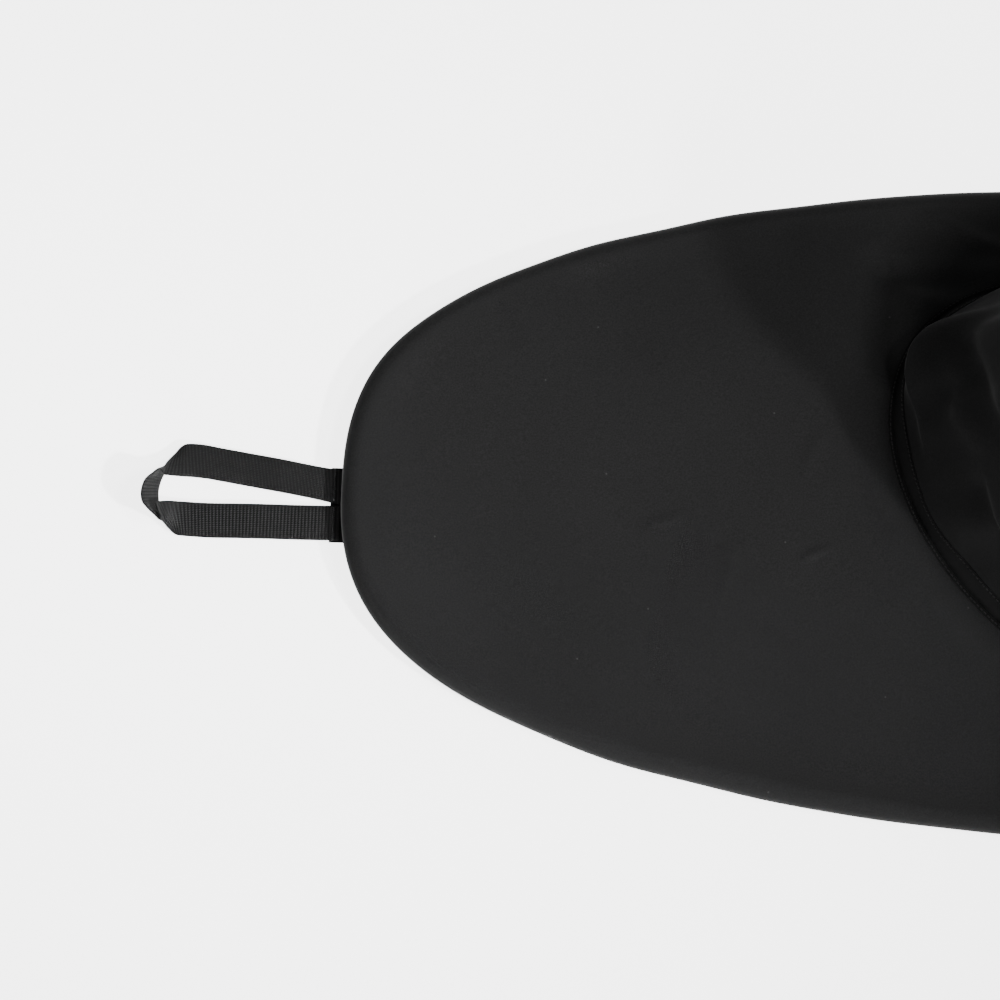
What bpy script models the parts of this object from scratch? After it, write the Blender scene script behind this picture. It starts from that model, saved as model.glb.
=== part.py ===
"""Neoprene kayak spray skirt, laid out on a flat surface with its waist tunnel slumped back.

Frame: metres, +Z up, the surface at Z = 0. The bow is at -X and the stern at +X, so port is -Y and
starboard is +Y. The origin is the bottom centre of the whole object, grab loop included.
"""
import math

import bmesh
import bpy
from mathutils import Vector

MM = 0.001

# Deck, as it lies relaxed
DECK_LENGTH = 870 * MM
DECK_HALF_WIDTH = 234 * MM
BOW_LENGTH = 518 * MM          # from the bow tip to the widest station
BOW_EXPONENTS = (1.74, 2.75)   # along and across: a blunt bow on a long taper
STERN_EXPONENTS = (2.1, 2.3)   # a rounder stern
FABRIC = 3 * MM                # neoprene thickness
ROLL_RADIUS = 12.5 * MM        # the deck's edge rolls over the shock cord
ROLL_CENTRE_Z = 13 * MM
ROLL_UNDER = -55               # degrees below level at which the rolled edge stops
DECK_RISE = 14 * MM            # from the rolled edge up to the tunnel seam
RING_STATIONS = 72
SEAM_EDGE = -0.7 * MM          # the deck's opening, outward of the tunnel wall's middle

# Hem under the edge
FACING = 2 * MM
FACING_FLAT = (-8 * MM, -17 * MM)      # flat band that the skirt stands on, inward of the outline
FACING_TOP = (-33 * MM, 21 * MM)
GRIP_START = 6 * MM                    # up the facing's slope from its flat band
GRIP_SIZE = (11 * MM, 1.2 * MM)
CORD_RADIUS = 4 * MM
CORD_CENTRE = (-12.5 * MM, 7.7 * MM)
CRIMP_RADIUS = 5.2 * MM
CRIMP_BORE = 4.4 * MM
CRIMP_LENGTH = 18 * MM
CORD_JOINT = 0.5 * MM          # half the gap where the cord's ends meet inside the crimp

# Tunnel: stacked ellipses whose centre drifts aft and to starboard
TUNNEL_STATION = 552 * MM      # centre of the base seam, aft of the bow tip
TUNNEL_OFFSET = -2 * MM        # and off the centre line, as the laid skirt slumps
BASE_AXES = (184 * MM, 128 * MM)
BASE_TURN = math.radians(-38)
WAIST_AXES = (134 * MM, 126 * MM)
TUNNEL_HEIGHT = 215 * MM
TUNNEL_LEAN = Vector((48 * MM, 34 * MM))
STRAIGHT_TOP = 46 * MM         # height of the upright band that carries the waist fittings
PANEL_GAP = 0.2                # degrees from a side seam to a panel's edge
TAPE_TURN = 2.6                # degrees from a side seam to its tape's edge
TAPE_THICK = 0.9 * MM
BASE_TAPE = (9 * MM, 1.2 * MM)
INNER_TAPE = (9 * MM, 1 * MM)

# Waist fittings. Turns are in degrees from the tab's root, towards the tab's free end.
BINDING_DROP = 36 * MM
BINDING_SKIN = 1.2 * MM
ELASTIC_THICK = 1.5 * MM
BAND_MARGIN = 3 * MM
PAD_THICK = 1.0 * MM
TAB_THICK = 1.6 * MM
TAB_ROOTS = {"port": (-52, -1), "starboard": (52, 1)}
TAB_END = 44
LOOP_PAD_TURNS = (4, 58)
HOOK_PAD_TURNS = (14, 42)
ANCHOR_TURNS = (-5, -0.35)
LABEL_TURN = 8
LABEL_HEIGHTS = (46 * MM, 6 * MM)   # below the binding's lower edge
LABEL_THICK = 0.6 * MM

# Grab loop
LOOP_REACH = 141 * MM
WEBBING = (25 * MM, 1.8 * MM)
LOOP_HINGE = (-10.4 * MM, -12.2 * MM, 6.2 * MM)   # from the bow tip, at the anchor tab's edge
TAB_SIZE = (7.7 * MM, 54 * MM, 2.4 * MM)
BARTACK_SIZE = (2.8 * MM, 24 * MM, 0.7 * MM)
BARTACK_OFFSET = 14.3 * MM     # of each leg's middle from the tab's
PATCH_REACH = (42 * MM, 100 * MM)
PATCH_HALF_WIDTH = 38 * MM
PATCH_THICK = 1.5 * MM

CLEAR = 0.5 * MM

BOW_X = LOOP_REACH - (DECK_LENGTH + LOOP_REACH) / 2
SEAM_CENTRE = Vector((BOW_X + TUNNEL_STATION, TUNNEL_OFFSET))
ROLL_TOP_Z = ROLL_CENTRE_Z + ROLL_RADIUS
SEAM_Z = ROLL_TOP_Z + DECK_RISE

COLOURS = {
    "neoprene": ((0.030, 0.030, 0.031), 0.85, 0.0),
    "lining": ((0.040, 0.040, 0.042), 0.9, 0.0),
    "tape": ((0.022, 0.022, 0.023), 0.8, 0.0),
    "webbing": ((0.045, 0.045, 0.046), 0.6, 0.0),
    "thread": ((0.07, 0.07, 0.07), 0.6, 0.0),
    "grip_rubber": ((0.02, 0.02, 0.02), 0.7, 0.0),
    "elastic": ((0.05, 0.05, 0.052), 0.8, 0.0),
    "hook_and_loop": ((0.025, 0.025, 0.026), 0.95, 0.0),
    "stainless": ((0.6, 0.6, 0.6), 0.3, 1.0),
}


def clear_scene():
    for old in list(bpy.data.objects):
        bpy.data.objects.remove(old, do_unlink=True)


def material(slot):
    made = bpy.data.materials.get(slot)
    if made:
        return made
    colour, roughness, metallic = COLOURS[slot]
    made = bpy.data.materials.new(slot)
    made.use_nodes = True
    shader = made.node_tree.nodes["Principled BSDF"]
    shader.inputs["Base Color"].default_value = (*colour, 1)
    shader.inputs["Roughness"].default_value = roughness
    shader.inputs["Metallic"].default_value = metallic
    return made


def pivot(name, place):
    """An empty that a group of pieces is parented to, standing on its joint's axis."""
    empty = bpy.data.objects.new(name, None)
    empty.location = place
    bpy.context.collection.objects.link(empty)
    return empty


def add_piece(name, slot, parent, data):
    piece = bpy.data.objects.new(name, data)
    data.materials.append(material(slot))
    bpy.context.collection.objects.link(piece)
    piece.parent = parent
    return piece


def finish_solid(name, slot, parent, shape):
    bmesh.ops.recalc_face_normals(shape, faces=shape.faces)
    data = bpy.data.meshes.new(name)
    shape.to_mesh(data)
    shape.free()
    data.shade_smooth()
    data.set_sharp_from_angle(angle=math.radians(40))
    return add_piece(name, slot, parent, data)


def solid(name, slot, parent, rings, closed):
    """A closed solid through rings of points. A closed run joins up with its start; an open one is
    capped at both ends. The points are in world space and stored from the parent's place."""
    shape = bmesh.new()
    origin = Vector(parent.location)
    loops = [[shape.verts.new(Vector(point) - origin) for point in ring] for ring in rings]
    runs = len(loops) if closed else len(loops) - 1
    for i in range(runs):
        here, there = loops[i], loops[(i + 1) % len(loops)]
        for j in range(len(here)):
            k = (j + 1) % len(here)
            shape.faces.new((here[j], here[k], there[k], there[j]))
    if not closed:
        shape.faces.new(loops[0])
        shape.faces.new(reversed(loops[-1]))
    return finish_solid(name, slot, parent, shape)


def slab(name, slot, parent, inner, outer):
    """A closed solid between two grids of points with the same rows and columns."""
    shape = bmesh.new()
    origin = Vector(parent.location)
    skins = [[[shape.verts.new(Vector(point) - origin) for point in row] for row in grid]
             for grid in (inner, outer)]
    rows, columns = len(inner), len(inner[0])
    for skin in skins:
        for i in range(rows - 1):
            for j in range(columns - 1):
                shape.faces.new((skin[i][j], skin[i][j + 1], skin[i + 1][j + 1], skin[i + 1][j]))
    border = [(i, 0) for i in range(rows)] + [(rows - 1, j) for j in range(1, columns)]
    border += [(i, columns - 1) for i in range(rows - 2, -1, -1)] + [(0, j) for j in range(columns - 2, 0, -1)]
    for (i, j), (k, m) in zip(border, border[1:] + border[:1]):
        shape.faces.new((skins[0][i][j], skins[0][k][m], skins[1][k][m], skins[1][i][j]))
    return finish_solid(name, slot, parent, shape)


def smooth_step(t):
    return t * t * (3 - 2 * t)


# The deck's outline, and rings that follow it

def outline_point(turn):
    """Outline at an angle that runs from the bow tip (0) through the starboard side to the stern
    (180 degrees) and back along the port side."""
    along, across = math.cos(turn), math.sin(turn)
    if along >= 0:
        length, powers = BOW_LENGTH, BOW_EXPONENTS
        x = BOW_X + length * (1 - along ** (2 / powers[0]))
    else:
        length, powers = DECK_LENGTH - BOW_LENGTH, STERN_EXPONENTS
        x = BOW_X + BOW_LENGTH + length * abs(along) ** (2 / powers[0])
    y = math.copysign(DECK_HALF_WIDTH * abs(across) ** (2 / powers[1]), across)
    return Vector((x, y))


def spaced_outline(count, fine=7200):
    """Stations at equal steps along the outline, each a point and its outward normal."""
    dense = [outline_point(2 * math.pi * (i + 0.5) / fine) for i in range(fine)]
    steps = [(dense[(i + 1) % fine] - dense[i]).length for i in range(fine)]
    stride = sum(steps) / count
    points, run, due = [], 0.0, 0.0
    for i in range(fine):
        if run >= due and len(points) < count:
            points.append(dense[i])
            due += stride
        run += steps[i]
    stations = []
    for i, point in enumerate(points):
        tangent = points[(i + 1) % count] - points[i - 1]
        normal = Vector((-tangent.y, tangent.x)).normalized()
        stations.append((point, normal))
    return stations


def follow(stations, section):
    """One ring of 3-D points per station from a section of (outward, height) pairs."""
    rings = []
    for point, normal in stations:
        rings.append([(*(point + normal * out), height) for out, height in section])
    return rings


def circle_section(centre, radius, sides):
    angles = [2 * math.pi * i / sides for i in range(sides)]
    return [(centre[0] + radius * math.cos(a), centre[1] + radius * math.sin(a)) for a in angles]


# The tunnel's wall: a stack of ellipses

def tunnel_point(turn, height, out=0.0):
    """Point of the tunnel wall's middle surface, at a turn about its centre (0 is aft, 90 degrees
    is starboard) and a height over the seam, moved outward by out."""
    rise = min(max(height / (TUNNEL_HEIGHT - STRAIGHT_TOP), 0), 1)
    blend = smooth_step(rise)
    long_axis = BASE_AXES[0] + (WAIST_AXES[0] - BASE_AXES[0]) * blend
    short_axis = BASE_AXES[1] + (WAIST_AXES[1] - BASE_AXES[1]) * blend
    centre = SEAM_CENTRE + TUNNEL_LEAN * blend
    local = turn - BASE_TURN
    u = Vector((math.cos(BASE_TURN), math.sin(BASE_TURN)))
    v = Vector((-u.y, u.x))
    normal = u * (math.cos(local) / long_axis) + v * (math.sin(local) / short_axis)
    point = centre + u * (long_axis * math.cos(local)) + v * (short_axis * math.sin(local))
    point += normal.normalized() * out
    return (point.x, point.y, SEAM_Z + CLEAR + height)


def wall_patch(name, slot, parent, turns, heights, outs):
    """A piece of wall between two turns in degrees, given heights and two outward offsets."""
    steps = max(2, round(abs(turns[1] - turns[0]) / 7.5))
    spots = [math.radians(turns[0] + (turns[1] - turns[0]) * i / steps) for i in range(steps + 1)]
    inner, outer = [[[tunnel_point(spot, height, out) for height in heights] for spot in spots]
                    for out in outs]
    return slab(name, slot, parent, inner, outer)


def wall_ring(name, slot, parent, section, steps=48):
    """A closed ring around the tunnel from a section of (outward, height over the seam) pairs."""
    rings = []
    for i in range(steps):
        turn = 2 * math.pi * i / steps
        rings.append([tunnel_point(turn, height, out) for out, height in section])
    return solid(name, slot, parent, rings, closed=True)


# Deck pieces

def deck_profile(station):
    """Outer and inner face of the deck at one station, from the rolled edge to the tunnel seam."""
    point, normal = station
    turn = math.atan2(point.y - SEAM_CENTRE.y, point.x - SEAM_CENTRE.x)
    seam = Vector(tunnel_point(turn, 0, SEAM_EDGE)[:2])
    outer, inner = [], []
    for step in range(6):
        angle = math.radians(ROLL_UNDER + (90 - ROLL_UNDER) * step / 5)
        for face, radius in ((outer, ROLL_RADIUS), (inner, ROLL_RADIUS - FABRIC)):
            place = point + normal * (radius * math.cos(angle) - ROLL_RADIUS)
            face.append((*place, ROLL_CENTRE_Z + radius * math.sin(angle)))
    start = point - normal * ROLL_RADIUS
    for share in (0.12, 0.3, 0.5, 0.7, 0.88, 1.0):
        place = start.lerp(seam, share)
        height = ROLL_TOP_Z + DECK_RISE * smooth_step(share)
        outer.append((*place, height))
        inner.append((*place, height - FABRIC))
    return outer + inner[::-1]


def make_deck(frame, stations):
    rings = [deck_profile(station) for station in stations]
    solid("deck_panel", "neoprene", frame, rings, closed=True)


def make_hem(frame, stations):
    """Facing strip that closes the hem, with its grip strip, the shock cord and the cord's crimp."""
    (flat_out, flat_in), (top_out, top_z) = FACING_FLAT, FACING_TOP
    section = [(flat_out, 0), (flat_out, FACING), (flat_in, FACING), (top_out, top_z),
               (top_out - FACING, top_z), (flat_in - FACING, 0)]
    solid("hem_facing", "lining", frame, follow(stations, section), closed=True)
    slope = Vector((top_out - flat_in, top_z)).normalized()
    away = Vector((-slope.y, slope.x))
    base = Vector((flat_in - FACING, 0)) + slope * GRIP_START
    near, far = base + away * CLEAR, base + away * (CLEAR + GRIP_SIZE[1])
    run = slope * GRIP_SIZE[0]
    strip = [tuple(near), tuple(near + run), tuple(far + run), tuple(far)]
    solid("rand_grip_strip", "grip_rubber", frame, follow(stations, strip), closed=True)

    cord = [point + normal * CORD_CENTRE[0] for point, normal in stations]
    stern = RING_STATIONS // 2
    order = cord[stern:] + cord[:stern]
    middle = (order[0] + order[-1]) / 2
    along = (order[0] - order[-1]).normalized()
    path = [middle + along * CORD_JOINT] + order + [middle - along * CORD_JOINT]
    curve = bpy.data.curves.new("rim_shock_cord", "CURVE")
    curve.dimensions = "3D"
    curve.bevel_depth = CORD_RADIUS
    curve.bevel_resolution = 2
    curve.use_fill_caps = True
    spline = curve.splines.new("POLY")
    spline.points.add(len(path) - 1)
    origin = Vector(frame.location)
    for knot, place in zip(spline.points, path):
        knot.co = (place.x - origin.x, place.y - origin.y, CORD_CENTRE[1], 1)
    add_piece("rim_shock_cord", "elastic", frame, curve)

    sleeve = []
    across = Vector((-along.y, along.x))
    half = CRIMP_LENGTH / 2
    for reach, radius in ((-half, CRIMP_RADIUS), (-half, CRIMP_BORE), (half, CRIMP_BORE), (half, CRIMP_RADIUS)):
        turned = circle_section((0, CORD_CENTRE[1]), radius, 12)
        sleeve.append([(*(middle + along * reach + across * side), height) for side, height in turned])
    solid("shock_cord_crimp", "stainless", frame, sleeve, closed=True)


def plate(name, slot, parent, low, high, corner, segments=3):
    """An upright-extruded plate with rounded corners between two corner points."""
    outline = []
    centres = [(high[0] - corner, high[1] - corner), (low[0] + corner, high[1] - corner),
               (low[0] + corner, low[1] + corner), (high[0] - corner, low[1] + corner)]
    for quarter, (cx, cy) in enumerate(centres):
        for step in range(segments + 1):
            angle = math.pi / 2 * (quarter + step / segments)
            outline.append((cx + corner * math.cos(angle), cy + corner * math.sin(angle)))
    rings = [[(x, y, z) for x, y in outline] for z in (low[2], high[2])]
    return solid(name, slot, parent, rings, closed=False)


def make_bow_fittings(frame):
    """Reinforcement under the bow, and the tab and bar tacks that hold the grab loop."""
    under = ROLL_TOP_Z - FABRIC - CLEAR
    near, far = (BOW_X + reach for reach in PATCH_REACH)
    plate("bow_reinforcement", "lining", frame,
          (near, -PATCH_HALF_WIDTH, under - PATCH_THICK), (far, PATCH_HALF_WIDTH, under), 12 * MM)
    middle = LOOP_HINGE[1]
    tab_far = BOW_X - CLEAR
    tab_near = tab_far - TAB_SIZE[0]
    top = LOOP_HINGE[2] + 1.1 * MM
    half = TAB_SIZE[1] / 2
    plate("loop_anchor_tab", "webbing", frame,
          (tab_near, middle - half, top - TAB_SIZE[2]), (tab_far, middle + half, top), 1.5 * MM)
    start = tab_near + 2.2 * MM
    low = top + 0.3 * MM
    for name, side in (("bartack_port", -1), ("bartack_starboard", 1)):
        centre = middle + side * BARTACK_OFFSET
        half = BARTACK_SIZE[1] / 2
        plate(name, "thread", frame,
              (start, centre - half, low),
              (start + BARTACK_SIZE[0], centre + half, low + BARTACK_SIZE[2]), 0.6 * MM)


# Grab loop

# Middle line of the webbing from the hinge out along the starboard leg, round the end and back:
# distance from the bow tip, offset to starboard, height, and twist in degrees.
LOOP_LINE = [
    (-11.0, 2.3, 6.2, 0),
    (-27.0, 5.3, 6.4, 6),
    (-45.0, 8.9, 6.8, 12),
    (-71.0, 13.5, 7.4, 16),
    (-96.0, 17.0, 8.0, 20),
    (-108.0, 17.6, 9.5, 32),
    (-118.0, 14.5, 12.2, 62),
    (-124.5, 9.0, 13.6, 92),
    (-130.2, 2.0, 14.0, 114),
    (-133.0, -6.5, 14.0, 126),
    (-131.8, -15.0, 14.0, 114),
    (-126.5, -22.5, 13.6, 92),
    (-118.5, -27.2, 12.2, 62),
    (-107.0, -27.4, 9.5, 30),
    (-94.0, -26.6, 8.0, 16),
    (-79.0, -26.3, 7.2, 12),
    (-52.0, -26.2, 6.8, 10),
    (-27.0, -26.0, 6.4, 5),
    (-11.0, -25.8, 6.2, 0),
]


def catmull_rom(knots, share):
    """Smooth run through knots of any dimension, at a share of its length in knots."""
    place = share * (len(knots) - 1)
    i = min(int(place), len(knots) - 2)
    t = place - i
    k = [knots[max(i - 1, 0)], knots[i], knots[i + 1], knots[min(i + 2, len(knots) - 1)]]
    return [0.5 * (2 * b + (c - a) * t + (2 * a - 5 * b + 4 * c - d) * t * t
                   + (3 * b - a - 3 * c + d) * t ** 3) for a, b, c, d in zip(*k)]


def make_grab_loop(hinge):
    """One strap: flat legs, and an end that turns over past upright."""
    width, thick = WEBBING
    steps = 72
    samples = [catmull_rom(LOOP_LINE, i / steps) for i in range(steps + 1)]
    rings = []
    for i, (along, across, height, twist) in enumerate(samples):
        centre = Vector((BOW_X + along * MM, across * MM, height * MM))
        ahead = samples[min(i + 1, steps)]
        behind = samples[max(i - 1, 0)]
        tangent = Vector((ahead[0] - behind[0], ahead[1] - behind[1], 0)).normalized()
        outward = Vector((tangent.y, -tangent.x, 0))
        turn = math.radians(twist)
        span = outward * math.cos(turn) + Vector((0, 0, 1)) * math.sin(turn)
        face = tangent.cross(span)
        rings.append([centre + span * (a * width / 2) + face * (b * thick / 2)
                      for a, b in ((1, 1), (-1, 1), (-1, -1), (1, -1))])
    solid("grab_loop_webbing", "webbing", hinge, rings, closed=False)


# Tunnel pieces

def make_tunnel(frame):
    half = FABRIC / 2
    foot_level = 12 * MM
    straight = TUNNEL_HEIGHT - STRAIGHT_TOP
    slope_levels = [foot_level + (straight - foot_level) * i / 6 for i in range(7)]
    levels = [0, *slope_levels, TUNNEL_HEIGHT]
    for name, middle in (("tunnel_front_panel", 180), ("tunnel_back_panel", 0)):
        turns = (middle - 90 + PANEL_GAP, middle + 90 - PANEL_GAP)
        wall_patch(name, "neoprene", frame, turns, levels, (-half, half))
    tape = (half + CLEAR, half + CLEAR + TAPE_THICK)
    for name, turn in (("side_seam_tape_port", -90), ("side_seam_tape_starboard", 90)):
        wall_patch(name, "tape", frame, (turn - TAPE_TURN, turn + TAPE_TURN), slope_levels, tape)
    foot = half + 0.8 * MM
    reach, thick = BASE_TAPE
    wall_ring("tunnel_base_tape", "tape", frame,
              [(foot, 0), (foot, reach), (foot + thick, reach), (foot + thick, thick),
               (foot + reach, thick), (foot + reach, 0)])
    inside = -half - CLEAR
    reach, thick = INNER_TAPE
    wall_ring("tunnel_inner_tape", "tape", frame,
              [(inside, -reach), (inside - thick, -reach), (inside - thick, reach), (inside, reach)])


def make_waist(frame, hinges):
    """Folded binding with its elastic, and a hook-and-loop tab on each side to draw the waist in."""
    half = FABRIC / 2
    top, skin = TUNNEL_HEIGHT, BINDING_SKIN
    inner = -half - CLEAR - ELASTIC_THICK - CLEAR
    outer = half + CLEAR
    low, cap = top - BINDING_DROP, top + CLEAR
    wall_ring("waist_binding", "tape", frame,
              [(outer, low), (outer + skin, low), (outer + skin, cap + skin), (inner - skin, cap + skin),
               (inner - skin, low), (inner, low), (inner, cap), (outer, cap)])
    lining = inner + CLEAR
    wall_ring("waist_elastic", "elastic", frame,
              [(lining, low + 2 * MM), (lining, top - 2 * MM),
               (lining + ELASTIC_THICK, top - 2 * MM), (lining + ELASTIC_THICK, low + 2 * MM)])
    make_tabs(frame, hinges, outer + skin + CLEAR)
    below, above = LABEL_HEIGHTS
    wall_patch("care_label", "tape", frame, (-LABEL_TURN, LABEL_TURN), [low - below, low - above],
               (-half - CLEAR - LABEL_THICK, -half - CLEAR))


def make_tabs(frame, hinges, face):
    """On each side: a loop pad on the binding, and an anchored tab with a hook pad that closes on it."""
    band = [TUNNEL_HEIGHT - BINDING_DROP + BAND_MARGIN, TUNNEL_HEIGHT - BAND_MARGIN]
    hook_band = [band[0] + 2 * MM, band[1] - 2 * MM]
    hook_face = face + PAD_THICK + CLEAR
    tab_face = hook_face + PAD_THICK + CLEAR
    for side, (root, aim) in TAB_ROOTS.items():
        def turns(span):
            return tuple(root + aim * turn for turn in span)
        wall_patch(f"loop_pad_{side}", "hook_and_loop", frame,
                   turns(LOOP_PAD_TURNS), band, (face, face + PAD_THICK))
        wall_patch(f"tab_anchor_{side}", "tape", frame,
                   turns(ANCHOR_TURNS), band, (face, tab_face + TAB_THICK))
        wall_patch(f"hook_pad_{side}", "hook_and_loop", hinges[side],
                   turns(HOOK_PAD_TURNS), hook_band, (hook_face, hook_face + PAD_THICK))
        wall_patch(f"waist_tab_{side}", "webbing", hinges[side],
                   turns((0, TAB_END)), band, (tab_face, tab_face + TAB_THICK))


def tab_hinge_place(root):
    """The tab's root, on its outer face and halfway up the waistband."""
    out = FABRIC / 2 + BINDING_SKIN + 2 * PAD_THICK + TAB_THICK + 4 * CLEAR
    return tunnel_point(math.radians(root), TUNNEL_HEIGHT - BINDING_DROP / 2, out)


def build():
    clear_scene()
    stations = spaced_outline(RING_STATIONS)
    frame = pivot("skirt_frame", (0, 0, 0))
    loop_hinge = pivot("grab_loop_hinge",
                       (BOW_X + LOOP_HINGE[0], LOOP_HINGE[1], LOOP_HINGE[2]))
    tab_hinges = {side: pivot(f"{side}_tab_hinge", tab_hinge_place(root))
                  for side, (root, _) in TAB_ROOTS.items()}
    make_deck(frame, stations)
    make_hem(frame, stations)
    make_bow_fittings(frame)
    make_grab_loop(loop_hinge)
    make_tunnel(frame)
    make_waist(frame, tab_hinges)
    bpy.context.view_layer.update()


build()
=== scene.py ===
"""Looks of a neoprene kayak spray skirt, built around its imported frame.

Metres, +Z up. The bow is at -X, the stern at +X, starboard at +Y. The deck is one sheet that runs from
its rolled edge to the tunnel's seam, and the tunnel is a simulated tube of cloth between that seam and
the waist. Everything sewn or glued to them is placed on those two surfaces.
"""
import math

import bpy
import numpy as np
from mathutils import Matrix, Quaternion, Vector
from mathutils.bvhtree import BVHTree


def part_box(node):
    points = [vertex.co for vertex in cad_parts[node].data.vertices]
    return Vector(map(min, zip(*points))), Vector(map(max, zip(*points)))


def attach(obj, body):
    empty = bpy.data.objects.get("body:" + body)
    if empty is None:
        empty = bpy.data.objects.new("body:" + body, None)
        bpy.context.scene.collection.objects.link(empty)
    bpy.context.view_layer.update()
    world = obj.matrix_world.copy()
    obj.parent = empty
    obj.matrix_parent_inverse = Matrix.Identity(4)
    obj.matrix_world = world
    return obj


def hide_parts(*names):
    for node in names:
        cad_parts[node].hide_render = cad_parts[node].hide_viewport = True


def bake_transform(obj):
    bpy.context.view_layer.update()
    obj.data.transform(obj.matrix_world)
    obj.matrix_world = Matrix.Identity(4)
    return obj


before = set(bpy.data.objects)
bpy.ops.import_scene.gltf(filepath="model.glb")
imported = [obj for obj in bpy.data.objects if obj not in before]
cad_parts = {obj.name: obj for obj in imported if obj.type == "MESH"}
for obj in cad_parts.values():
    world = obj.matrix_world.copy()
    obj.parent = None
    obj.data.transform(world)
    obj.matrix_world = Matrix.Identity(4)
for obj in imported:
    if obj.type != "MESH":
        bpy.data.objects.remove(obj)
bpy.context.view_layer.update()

MM = 0.001

# Dimensions read from the frame
DECK_LOW, DECK_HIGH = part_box("deck_panel")
BOW_X = DECK_LOW.x
DECK_LENGTH = DECK_HIGH.x - DECK_LOW.x
HALF_WIDTH = DECK_HIGH.y
SEAM_Z = DECK_HIGH.z
WAIST_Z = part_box("tunnel_front_panel")[1].z

# The pattern's shape, as in the CAD design
BOW_LENGTH = 518 * MM
BOW_POWERS = (1.74, 2.75)
STERN_POWERS = (2.1, 2.3)
FABRIC = 3 * MM
ROLL_RADIUS = 12.5 * MM
ROLL_Z = 13 * MM
SEAM_CENTRE = np.array([BOW_X + 552 * MM, -2 * MM])
BASE_AXES = np.array([184 * MM, 128 * MM])
BASE_TURN = math.radians(-38)
WAIST_AXES = np.array([134 * MM, 126 * MM])
LEAN = np.array([48 * MM, 34 * MM])
STRAIGHT_TOP = 46 * MM
FOOT_GAP = 0.5 * MM
TUNNEL_HEIGHT = WAIST_Z - SEAM_Z - FOOT_GAP

HALF_FABRIC = FABRIC / 2
BAND_DROP = 36 * MM
BAND_FOOT = TUNNEL_HEIGHT - BAND_DROP
RIB_PITCH = 2.4 * MM

# How finely the deck and the tunnel's wall are divided
DECK_COLUMNS = 480
ROLL_ROWS = 16
DECK_ROWS = 84
WALL_COLUMNS, WALL_ROWS = 180, 58


# ---------------------------------------------------------------- camera, light and floor

CAMERA_ELEVATION = math.radians(75)
CAMERA_ROLL = math.radians(1.54)
CAMERA_DISTANCE = 1.8
CAMERA_TARGET = Vector((-0.254, -0.0093, 0.020))
CAMERA_LENS = 93.25

FLOOR_DROP = 0.6 * MM
FLOOR_GLOW = 4.0
LIGHTS = [
    # name, place, aim, size, power, spread
    ("key", (1.454, -1.10, 1.68), (-0.8, 0.1, 0.0), 0.14, 3.45, 28),
    ("high", (0.93, -0.30, 1.99), (-0.2, 0.6, 0.0), 0.32, 4.4, 60),
    ("low", (-0.62, -1.70, 0.36), (-0.25, -0.1, 0.03), 0.6, 17, 180),
]


def make_camera():
    data = bpy.data.cameras.new("camera")
    data.lens = CAMERA_LENS
    data.sensor_width = 36
    camera = bpy.data.objects.new("camera", data)
    bpy.context.collection.objects.link(camera)
    back = Vector((0, -math.cos(CAMERA_ELEVATION), math.sin(CAMERA_ELEVATION)))
    camera.location = CAMERA_TARGET + back * CAMERA_DISTANCE
    camera.rotation_mode = "QUATERNION"
    camera.rotation_quaternion = Quaternion(-back, -CAMERA_ROLL) @ (-back).to_track_quat("-Z", "Y")
    bpy.context.scene.camera = camera


def area_light(name, place, aim, size, power, spread):
    data = bpy.data.lights.new(name, "AREA")
    data.size = size
    data.energy = power
    data.spread = math.radians(spread)
    light = bpy.data.objects.new(name, data)
    bpy.context.collection.objects.link(light)
    light.location = place
    light.rotation_mode = "QUATERNION"
    light.rotation_quaternion = (Vector(aim) - Vector(place)).to_track_quat("-Z", "Y")
    light.visible_camera = False


def make_surround():
    """Even light from all round, brighter from below the horizon, as over a white floor."""
    world = bpy.data.worlds.new("studio")
    bpy.context.scene.world = world
    world.use_nodes = True
    tree = world.node_tree
    place = node(tree, "ShaderNodeTexCoord")
    split = node(tree, "ShaderNodeSeparateXYZ")
    level = node(tree, "ShaderNodeMapRange", in_From_Min=-0.15, in_From_Max=0.1, in_To_Min=1.1, in_To_Max=0.2)
    tree.links.new(place.outputs["Generated"], split.inputs["Vector"])
    tree.links.new(split.outputs["Z"], level.inputs["Value"])
    tree.links.new(level.outputs["Result"], tree.nodes["Background"].inputs["Strength"])
    tree.nodes["Background"].inputs["Color"].default_value = (1, 1, 1, 1)


def make_stage():
    """White floor that lights nothing itself, two lamps high at the stern and a low one off the port bow."""
    make_surround()
    bpy.ops.mesh.primitive_plane_add(size=30, location=(0, 0, -FLOOR_DROP))
    floor = bpy.context.object
    floor.name = "floor"
    floor.visible_diffuse = False
    floor.visible_glossy = False
    paint = bpy.data.materials.new("floor")
    paint.use_nodes = True
    shader = paint.node_tree.nodes["Principled BSDF"]
    shader.inputs["Base Color"].default_value = (0.93, 0.93, 0.93, 1)
    shader.inputs["Roughness"].default_value = 0.9
    shader.inputs["Specular IOR Level"].default_value = 0.0
    shader.inputs["Emission Color"].default_value = (1, 1, 1, 1)
    shader.inputs["Emission Strength"].default_value = FLOOR_GLOW
    floor.data.materials.append(paint)
    for light in LIGHTS:
        area_light(*light)


# ---------------------------------------------------------------- materials

def node(tree, kind, **settings):
    made = tree.nodes.new(kind)
    for name, value in settings.items():
        if name.startswith("in_"):
            made.inputs[name[3:].replace("_", " ")].default_value = value
        else:
            setattr(made, name, value)
    return made


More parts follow.
